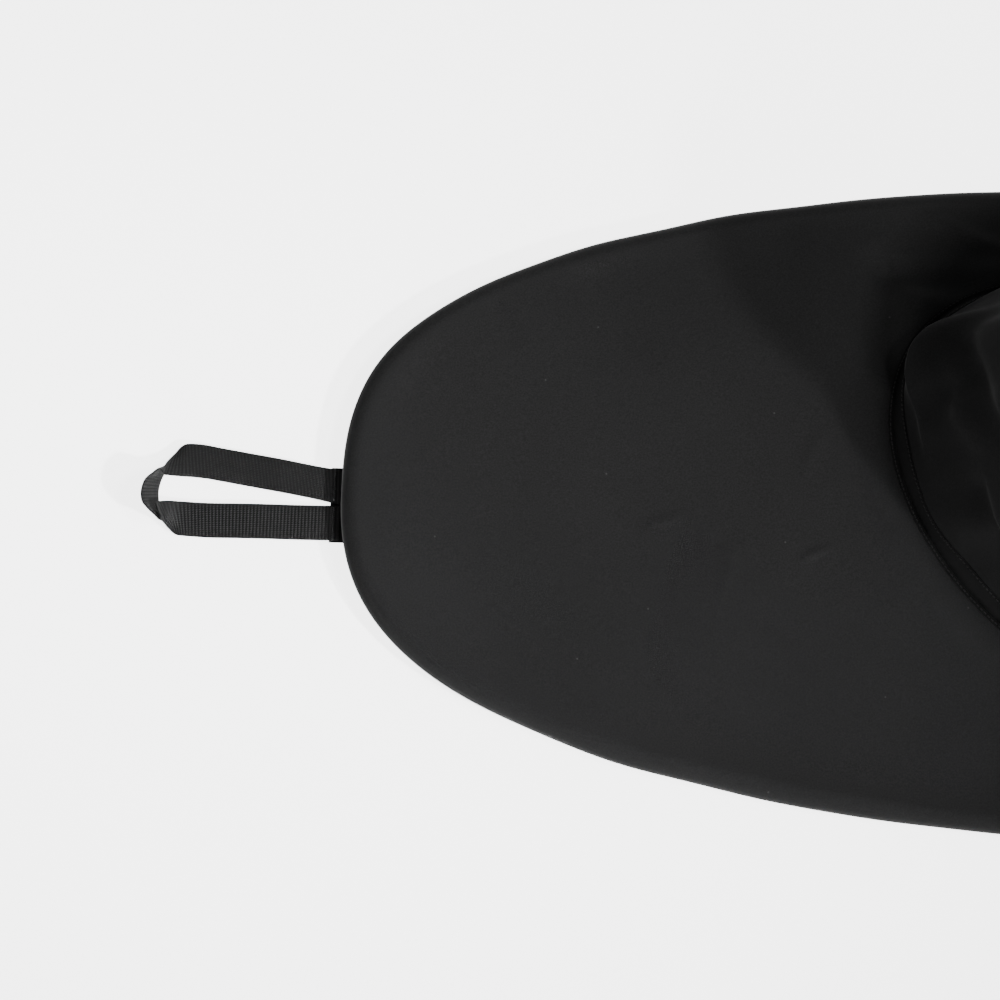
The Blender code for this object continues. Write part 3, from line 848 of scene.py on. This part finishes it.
def make_tunnel():
    """The wall's front and back panel, and a tape outside and inside each side seam."""
    half = HALF_FABRIC
    reach = (9 * MM, BAND_FOOT + 1 * MM)
    parting = 0.12
    for name, start in (("tunnel_front", 90), ("tunnel_back", -90)):
        piece = wall_sheet(name, (start + parting, start + 180 - parting), (0, TUNNEL_HEIGHT), (-half, half),
                           (181, 110), "tunnel", "skirt")
        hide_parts(name + "_panel")
    for side, turn in (("port", -90), ("starboard", 90)):
        crown = lambda t, h, mid=math.radians(turn): -0.35 * MM * ((t - mid) / math.radians(2.6)) ** 2
        tape = wall_sheet(f"side_tape_{side}", (turn - 2.6, turn + 2.6), reach,
                          (half + 0.1 * MM, half + 0.9 * MM), (9, 90), "tape", "skirt",
                          shape=crown)
        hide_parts(f"side_seam_tape_{side}")
        lining = wall_sheet(f"side_lining_{side}", (turn - 2.4, turn + 2.4), reach,
                            (-half - 0.8 * MM, -half - 0.1 * MM), (7, 90), "tape", "skirt")
        rows = np.linspace(reach[0] + 3 * MM, reach[1] - 2 * MM, 120)
        for edge, shift in (("fore", -1.9), ("aft", 1.9)):
            path, normal = WALL.at(np.radians(turn + shift), rows, half + 0.75 * MM)
            stitches(f"side_stitch_{side}_{edge}", path, normal, "skirt", False)


# ---------------------------------------------------------------- pieces on the deck and the tunnel's foot

def make_base_tape(outer):
    """Tape that runs from the deck up the tunnel's foot, with a row of stitches along each edge."""
    rows = outer[ROLL_ROWS:]
    quads = [tuple(f) for f in skin_faces(rows.shape[0], DECK_COLUMNS, True)]
    tree = BVHTree.FromPolygons([tuple(p) for p in rows.reshape(-1, 3)], quads)
    turn = turns_round(400)
    foot, normal = seam_frame(turn, 0 * turn)
    runs = []
    for out in (8.6, 7.4, 6.0, 4.6, 3.4):
        spots = foot + normal * (out * MM)
        runs.append([tree.ray_cast(Vector((*spot, 0.30)), Vector((0, 0, -1)))[0] for spot in spots])
    shown = 1 - lobe(turn, 166, 26, 0.55)
    for tall in (2.6, 4.2, 6.0, 7.8, 9.2):
        runs.append(WALL.at(turn, tall * MM * shown, HALF_FABRIC)[0])
    under = np.array([[tuple(spot) for spot in run] for run in runs])
    under[4:6] = (under[3:5] + 2 * under[4:6] + under[5:7]) / 4
    facing = grid_normals(under, True)
    facing *= np.sign((facing[0, :, 2]).mean())
    thick = np.array([0.35, 0.9, 1.0, 1.0, 1.0, 1.0, 1.0, 1.0, 0.9, 0.35])[:, None, None] * MM
    upper = under + facing * (thick + 0.15 * MM)
    lower = under + facing * 0.12 * MM
    uv = cloth_uv(np.arange(10) * 1.4 * MM, turn * 0.16)
    tape = thick_sheet("base_tape", upper, lower, True, "tape", "skirt", uv)
    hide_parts("tunnel_base_tape")
    for edge, row in (("deck", 1), ("wall", 8)):
        stitches(f"base_stitch_{edge}", upper[row], facing[row], "skirt", True, pitch=3.4 * MM)
    lining = wall_sheet("base_lining", None, (1 * MM, 10 * MM),
                        (-HALF_FABRIC - 0.9 * MM, -HALF_FABRIC - 0.1 * MM), (240, 6), "tape", "skirt",
                        wrap=True)
    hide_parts("tunnel_inner_tape")


def along_hem(section, count=DECK_COLUMNS):
    """Rings of a section of (outward, height) pairs that follow the outline, as a grid."""
    points, normal = outline_stations(count)
    rings = [np.concatenate([points + normal * out, np.full((count, 1), high)], 1) for out, high in section]
    return np.stack(rings)


# The hem strip's section in millimetres, outward from the rim and up, from its outer edge in
HEM_SECTION = [
    (-7.0, 1.2), (-8.5, 1.4), (-11, 1.4), (-14, 1.4), (-16.5, 1.5), (-18.3, 2.4), (-20, 4.2), (-23, 7.8),
    (-26, 11.4), (-29, 14.9), (-32, 18.2), (-34, 20.2), (-36.5, 22.0),
]


def make_hem():
    """The strip that closes the hem from below, and its two rows of stitches."""
    upper = along_hem([(out * MM, high * MM) for out, high in HEM_SECTION])
    facing = grid_normals(upper, True)
    facing *= np.sign(facing[2, :, 2].mean())
    points, _ = outline_stations(DECK_COLUMNS)
    ripple = 0.25 * MM * waves(points[:, 0], points[:, 1], 0.045, 5)
    rows = np.arange(len(HEM_SECTION))
    free = np.clip((rows - 4) / 4, 0, 1)[:, None]
    upper += facing * (ripple[None] * free)[..., None]
    lower = upper - facing * 1.1 * MM
    uv = cloth_uv(rows * 2.6 * MM, np.arange(DECK_COLUMNS) * 4.6 * MM)
    strip = thick_sheet("hem_strip", upper, lower, True, "lining", "skirt", uv)
    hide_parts("hem_facing")
    for row in (2, 11):
        stitches(f"hem_stitch_{row}", lower[row], -facing[row], "skirt", True, pitch=4.2 * MM,
                 length=3.1 * MM, radius=0.33 * MM)
    make_grip(lower, facing)
    make_shock_cord()


def make_grip(lower, facing):
    """Ribbed rubber strip on the sloping part of the hem strip."""
    steps = np.arange(13)
    rows = 5.6 + steps * 0.34
    row = rows.astype(int)
    share = (rows - row)[:, None, None]
    spots = lower[row] * (1 - share) + lower[row + 1] * share
    rise = np.where(steps % 2, 0.9, 1.6)
    rise[[0, -1]] = 0.5
    grip = spots - facing[row] * (rise * MM)[:, None, None]
    back = spots - facing[6][None] * 0.1 * MM
    rubber = thick_sheet("rand_grip", grip, back, True, "rubber", "skirt")
    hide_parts("rand_grip_strip")


def make_shock_cord():
    """The cord inside the hem, on the same line as in the frame, and the crimp's finish."""
    low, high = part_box("rim_shock_cord")
    radius = (high.z - low.z) / 2
    inset = DECK_LOW.x - low.x - radius
    turns = turns_round(16)
    section = [(inset + radius * math.cos(t), (low.z + high.z) / 2 + radius * math.sin(t)) for t in turns]
    rings = along_hem(section, 360).transpose(1, 0, 2)
    uv = cloth_uv(np.arange(360) * 6 * MM, turns * radius)[..., ::-1]
    cord = swept("shock_cord", rings, True, "elastic", "skirt", uv)
    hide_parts("rim_shock_cord")
    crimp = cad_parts["shock_cord_crimp"]
    crimp.data.materials.clear()
    crimp.data.materials.append(MATERIALS["steel"])


def rounded_patch(name, centre, size, corner, z, thick, material, body):
    """A thin patch with round corners and a soft edge, and its outline for stitching."""
    edge = []
    for quarter, (sx, sy) in enumerate(((1, 1), (-1, 1), (-1, -1), (1, -1))):
        for angle in math.pi / 2 * (quarter + np.arange(9) / 8):
            edge.append((sx * (size[0] / 2 - corner) + corner * math.cos(angle),
                         sy * (size[1] / 2 - corner) + corner * math.sin(angle)))
    edge = np.array(edge)
    layers = [(0.02, 0.0), (0.6, 0.0), (0.97, 0.0), (1.0, 0.35), (1.0, 0.65), (0.97, 1.0), (0.6, 1.0),
              (0.02, 1.0)]
    rings = [np.concatenate([centre + edge * share, np.full((len(edge), 1), z + thick * level)], 1)
             for share, level in layers]
    return swept(name, np.stack(rings), False, material, body), edge


def make_bow_patch():
    low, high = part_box("bow_reinforcement")
    centre = np.array([(low.x + high.x) / 2, (low.y + high.y) / 2])
    size = (high.x - low.x, high.y - low.y)
    patch, edge = rounded_patch("bow_patch", centre, size, 12 * MM, low.z, high.z - low.z,
                                "lining", "skirt")
    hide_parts("bow_reinforcement")
    path = np.concatenate([centre + edge * 0.9, np.full((len(edge), 1), low.z)], 1)
    down = np.tile([0.0, 0.0, -1.0], (len(path), 1))
    stitches("bow_patch_stitch", path, down, "skirt", True)


# ---------------------------------------------------------------- grab loop

# Both edges of the webbing in millimetres: the outer edge's distance from the bow tip and offset to
# starboard, the inner edge's, and each one's height. The strap lies flat on both legs, and stands on
# its edge round the end.
LOOP_EDGES = [
    (-1.5, 12.9, -1.5, -12.1, 6.2, 6.2),
    (-20, 15.6, -16, -9.1, 6.2, 6.2),
    (-46, 20.2, -42, -4.5, 6.2, 6.2),
    (-70, 24.2, -66, -0.5, 6.2, 6.2),
    (-88, 27, -84, 2.4, 6.2, 6.2),
    (-99, 28.4, -96, 4.4, 6.2, 6.6),
    (-110, 28.4, -107, 5, 6.2, 8.5),
    (-115, 26, -115, 4, 6, 14),
    (-118.5, 22, -120.5, 2.7, 6, 20),
    (-122, 18.4, -123, 1.7, 5.5, 24),
    (-124.5, 15.3, -124, 3, 5, 26),
    (-125, 12.8, -125.5, 4.7, 4.5, 27.5),
    (-125.7, 10.4, -127.6, 4.2, 4.5, 28),
    (-126.5, 7, -131, 1.6, 4, 28),
    (-128.4, 1.4, -136, -3, 4, 27.5),
    (-129.2, -4.7, -138.3, -11, 4, 27),
    (-128.5, -11.4, -137.2, -18.5, 4, 27.5),
    (-127, -16.5, -133, -23.5, 4, 28),
    (-125, -22.5, -127.5, -28, 4.5, 28.5),
    (-123, -28, -123.5, -31, 5, 28.5),
    (-120.5, -32, -127.5, -20, 6, 24),
    (-117, -34.5, -124.5, -17, 6.2, 15.5),
    (-112, -36.6, -117, -14.2, 6.4, 8.5),
    (-105, -37.9, -107, -13, 6.6, 6.2),
    (-92, -38.2, -93.5, -13.5, 6.2, 6.2),
    (-72, -38.2, -72.5, -13.3, 6.2, 6.2),
    (-48, -38.2, -48, -13.2, 6.2, 6.2),
    (-22, -38.1, -22, -13.1, 6.2, 6.2),
    (-1.5, -38, -1.5, -13, 6.2, 6.2),
]
WEBBING_WIDTH = 25 * MM
WEBBING_THICK = 1.8 * MM
RIB_DEPTH = 0.17 * MM


def make_grab_loop():
    """One ribbed strap from the tab out along one leg, over its turned end and back along the other."""
    edges = smooth_line(LOOP_EDGES, 4000) * MM
    outer = edges[:, [0, 1, 4]] + [BOW_X, 0, 0]
    inner = edges[:, [2, 3, 5]] + [BOW_X, 0, 0]
    middle = (outer + inner) / 2
    reach = running(middle)
    due = np.linspace(0, reach[-1], int(reach[-1] / (0.4 * MM)))
    outer, inner, middle = (resampled(run, reach, due) for run in (outer, inner, middle))
    span = unit(outer - inner)
    face = unit(np.cross(np.gradient(middle, axis=0), span))
    across = np.linspace(-1, 1, 27)
    plump = 1 - np.abs(across) ** 8 * 0.55
    rib = np.abs(np.sin(due * math.pi / RIB_PITCH)) ** 0.7 - 0.6
    warp = 0.05 * MM * np.cos(across * math.pi * 9)
    high = WEBBING_THICK / 2 * plump[None] + RIB_DEPTH * rib[:, None] * plump[None] + warp[None]
    cup = 0.4 * MM * across[None] ** 2 * np.cos(due * math.tau / 0.07)[:, None]
    edge_pull = 1 + 0.012 * rib[:, None]
    base = middle[:, None] + span[:, None] * (across[None] * WEBBING_WIDTH / 2 * edge_pull)[..., None]
    upper = base + face[:, None] * (high + cup)[..., None]
    lower = base - face[:, None] * (high - cup)[..., None]
    uv = cloth_uv(due, across * WEBBING_WIDTH / 2)[..., ::-1]
    strap = thick_sheet("grab_loop", upper, lower, False, "webbing", None, uv)
    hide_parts("grab_loop_webbing")
    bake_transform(strap)
    make_loop_tab()


def make_loop_tab():
    """The folded strip that the loop's legs are sewn to, and their bar tacks."""
    low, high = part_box("loop_anchor_tab")
    middle = (low.y + high.y) / 2
    bow = outline(np.linspace(-0.5, 0.5, 2001))
    columns = np.linspace(low.y, high.y, 90)
    ends = np.interp(columns, bow[:, 1], bow[:, 0]) + 1.4 * MM
    share, y = np.meshgrid(np.linspace(0, 1, 14), columns, indexing="ij")
    x = low.x + (np.maximum(ends, high.x)[None] - low.x) * share
    fold = np.sqrt(np.clip(1 - (1 - np.minimum(share * 2.2, 1)) ** 2, 0, 1))
    side = 1 - (np.abs(y - middle) / ((high.y - low.y) / 2)) ** 14 * 0.7
    thick = (high.z - low.z) / 2
    level = (high.z + low.z) / 2 - 1.3 * MM
    upper = np.stack([x, y, level + thick * (0.15 + 0.85 * fold) * side], -1)
    lower = np.stack([x, y, level - thick * (0.15 + 0.85 * fold) * side], -1)
    uv = np.stack([x, y], -1)
    tab = thick_sheet("loop_tab", upper, lower, False, "tape", "skirt", uv)
    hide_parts("loop_anchor_tab")
    for name in ("bartack_port", "bartack_starboard"):
        tack_low, tack_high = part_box(name)
        x, z = tack_low.x + 0.4 * MM, (tack_low.z + tack_high.z) / 2 - 0.35 * MM
        path = np.array([(x, y, z) for y in np.linspace(tack_low.y, tack_high.y, 40)])
        up = np.tile([0.0, 0.0, 1.0], (len(path), 1))
        tack = stitches(f"{name}_thread", path, up, "skirt", False, pitch=0.75 * MM, length=0.6 * MM,
                        radius=0.36 * MM, zigzag=1.4 * MM, material="bartack")
        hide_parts(name)


# ---------------------------------------------------------------- waist

TAB_BAND = (BAND_FOOT + 3 * MM, TUNNEL_HEIGHT - 3 * MM)  # heights that the elastic and the tabs keep to
TAB_FACE = HALF_FABRIC + 2.2 * MM  # where the tabs' pads lie, out from the wall's middle


def make_waist():
    """Folded binding over the wall's top edge, gathered slightly by the elastic inside it."""
    half, top = HALF_FABRIC, TUNNEL_HEIGHT
    turn = turns_round(480)
    gather = 0.28 * MM * np.sin(turn * 62 + 1.5 * np.sin(turn * 3)) + 0.2 * MM * np.sin(turn * 23)
    outer_face = half + 1.5 * MM
    inner_face = -half - 3.2 * MM
    side = np.linspace(BAND_FOOT, top - 2 * MM, 12)
    profile = [(outer_face, h) for h in side]
    middle, reach = (outer_face + inner_face) / 2, (outer_face - inner_face) / 2
    for angle in np.linspace(0.25, math.pi - 0.25, 9):
        profile.append((middle + reach * math.cos(angle), top - 1.6 * MM + 3.2 * MM * math.sin(angle)))
    profile += [(inner_face, h) for h in side[::-1]]
    upper = []
    for k, (out, high) in enumerate(profile):
        calm = 1 - abs(2 * k / (len(profile) - 1) - 1) ** 2 * 0.2
        point, normal = WALL.at(turn, min(high, top), out)
        point = point + np.array([0, 0, 1.0]) * max(0, high - top)
        upper.append(point + normal * (gather * calm)[:, None])
    upper = np.stack(upper)
    facing = grid_normals(upper, True)
    _, outward = WALL.at(turn, top - BAND_DROP / 2)
    facing *= np.sign((outward * facing[4]).sum(1).mean())
    lower = upper - facing * 1.0 * MM
    uv = cloth_uv(np.arange(len(profile)) * 3 * MM, turn * 0.13)
    binding = thick_sheet("waist_band", upper, lower, True, "tape", "skirt", uv)
    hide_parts("waist_binding")
    for row, name in ((1, "low"), (3, "second")):
        stitches(f"waist_stitch_{name}", upper[row], facing[row], "skirt", True, pitch=3.2 * MM)
    stitches("waist_zigzag", upper[10], facing[10], "skirt", True, pitch=2.6 * MM, length=2.2 * MM,
             zigzag=3.0 * MM)
    elastic = wall_sheet("waist_elastic_band", None, TAB_BAND,
                         (-half - 1.9 * MM, -half - 0.6 * MM), (240, 10), "elastic",
                         "skirt", wrap=True)
    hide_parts("waist_elastic")


# Each tab's root and the way that it runs, and how far, all in degrees of turn
TAB_ROOTS = {"port": (-52, -1), "starboard": (52, 1)}
TAB_SPAN = 44
TAB_RADIUS = 0.138


def make_tabs():
    """Hook-and-loop tab on each side: a pad on the waistband, and a strap that closes over it."""
    for side, (root, aim) in TAB_ROOTS.items():
        pad = wall_sheet(f"pile_pad_{side}", (root + aim * 4, root + aim * 58), TAB_BAND,
                         (TAB_FACE - 0.5 * MM, TAB_FACE + 0.9 * MM), (80, 16), "pile", "skirt",
                         shape=lambda t, h: 0.12 * MM * waves(t * 0.13, h, 0.004, 31))
        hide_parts(f"loop_pad_{side}")
        make_tab(side, root, aim)


def make_tab(side, root, aim):
    """One strap, flat at its sewn root, over its pad, with a round end that lifts a little."""
    body = f"{side}_waist_tab"
    low, high = TAB_BAND
    columns, rows = 150, 34
    share = np.linspace(0, 1, columns)
    start, end = root - aim * 5, root + aim * TAB_SPAN
    degrees = start + (end - start) * share
    turn = np.radians(degrees)
    ramp = smooth_step(((degrees - root) * aim + 4) / 7)
    centre = TAB_FACE + 1.0 * MM + 2.9 * MM * ramp + 1.2 * MM * smooth_step((share - 0.8) / 0.2)
    middle, half = (low + high) / 2, (high - low) / 2
    arc = math.radians(abs(end - start)) * TAB_RADIUS
    from_end = (1 - share) * arc
    round_end = 12 * MM
    inset = round_end - np.sqrt(np.clip(round_end ** 2 - np.clip(round_end - from_end, 0, None) ** 2, 0, None))
    level = np.linspace(-1, 1, rows)
    tall = middle + level[:, None] * (half - inset)[None]
    turns = np.broadcast_to(turn, tall.shape)
    soft = 1 - np.abs(level[:, None]) ** 10 * 0.45
    skin = 0.75 * MM * soft * np.where(share > 0.99, 0.6, 1.0)[None]
    outer, _ = WALL.at(turns, tall, centre + skin)
    inner, _ = WALL.at(turns, tall, centre - skin)
    uv = np.stack([tall, turns * TAB_RADIUS], -1)
    strap = thick_sheet(f"tab_{side}", outer, inner, False, "webbing", None, uv)
    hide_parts(f"waist_tab_{side}", f"tab_anchor_{side}")
    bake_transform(strap)
    rim = [(c, 2) for c in range(26, columns - 6)] + [(c, rows - 3) for c in range(columns - 7, 25, -1)]
    path = np.array([outer[r, c] for c, r in rim])
    normal = unit(np.array([outer[r, c] - inner[r, c] for c, r in rim]))
    stitches(f"tab_stitch_{side}", path, normal, body, False)
    sides = np.radians([root - aim * 4, root - aim * 1.2])
    bottom, top = low + 3 * MM, high - 3 * MM
    box = [(sides[0], bottom), (sides[1], bottom), (sides[1], top), (sides[0], top), (sides[0], bottom)]
    spots = []
    for (t0, h0), (t1, h1) in zip(box, box[1:]):
        for k in np.linspace(0, 1, 12, endpoint=False):
            column = np.interp((t0 + (t1 - t0) * k) * aim, turn * aim, np.arange(columns))
            row = ((h0 + (h1 - h0) * k - middle) / half + 1) / 2 * (rows - 1)
            spots.append(outer[int(round(row)), int(round(column))])
    normals = np.tile(WALL.at(math.radians(root - aim * 3), middle)[1], (len(spots), 1))
    stitches(f"tab_box_{side}", spots, normals, "skirt", True, pitch=2.6 * MM, length=2.1 * MM)
    hook = wall_sheet(f"hook_patch_{side}", (root + aim * 14, end - aim * 2),
                      (low + 2.5 * MM, high - 2.5 * MM), (TAB_FACE + 2.0 * MM, TAB_FACE + 3.0 * MM), (50, 12),
                      "pile", body)
    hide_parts(f"hook_pad_{side}")
    make_hooks(side, root, aim, body)


def make_hooks(side, root, aim, body):
    """Rows of small hooks on the inner face of the tab's patch."""
    turns = np.radians(np.arange(root + aim * 15, root + aim * (TAB_SPAN - 3), aim * 0.75))
    levels = np.arange(TAB_BAND[0] + 4 * MM, TAB_BAND[1] - 3.5 * MM, 1.7 * MM)
    wide, tall = math.radians(0.14), 0.3 * MM
    corners = [(-wide, -tall), (wide, -tall), (wide, tall), (-wide, tall)]
    points, faces = [], []
    for column, turn in enumerate(turns):
        for level in levels + (0.85 * MM if column % 2 else 0):
            a = len(points)
            for share, lean, out in ((1, 0, 2.1 * MM), (0.5, wide, 1.5 * MM)):
                points.extend(WALL.at(turn + t * share + lean, level + h, TAB_FACE + out)[0] for t, h in corners)
            faces.extend((a + k, a + (k + 1) % 4, a + 4 + (k + 1) % 4, a + 4 + k) for k in range(4))
            faces.append((a + 3, a + 2, a + 1, a))
            faces.append((a + 4, a + 5, a + 6, a + 7))
    fix_outside(mesh_piece(f"hooks_{side}", points, faces, "pile", body))


def make_label():
    """Blank woven label, sewn along its top edge inside the tunnel's back."""
    curl = lambda t, h: -1.6 * MM * smooth_step((BAND_FOOT - 10 * MM - h) / (30 * MM)) ** 2
    label = wall_sheet("label", (-8, 8), (BAND_FOOT - 46 * MM, BAND_FOOT - 3 * MM),
                       (-HALF_FABRIC - 0.6 * MM, -HALF_FABRIC - 0.2 * MM), (24, 24), "lining",
                       "skirt", shape=curl)
    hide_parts("care_label")
    turn = np.radians(np.linspace(-7.5, 7.5, 30))
    path, normal = WALL.at(turn, BAND_FOOT - 4.5 * MM, -HALF_FABRIC - 0.65 * MM)
    stitches("label_stitch", path, -normal, "skirt", False)


# ---------------------------------------------------------------- build

make_camera()
make_stage()
MATERIALS = make_materials()
WALL = Wall()
DECK_OUTER, DECK_INNER = deck_grid()
make_deck(DECK_OUTER, DECK_INNER)
make_tunnel()
make_base_tape(DECK_OUTER)
make_hem()
make_bow_patch()
make_grab_loop()
make_waist()
make_tabs()
make_label()
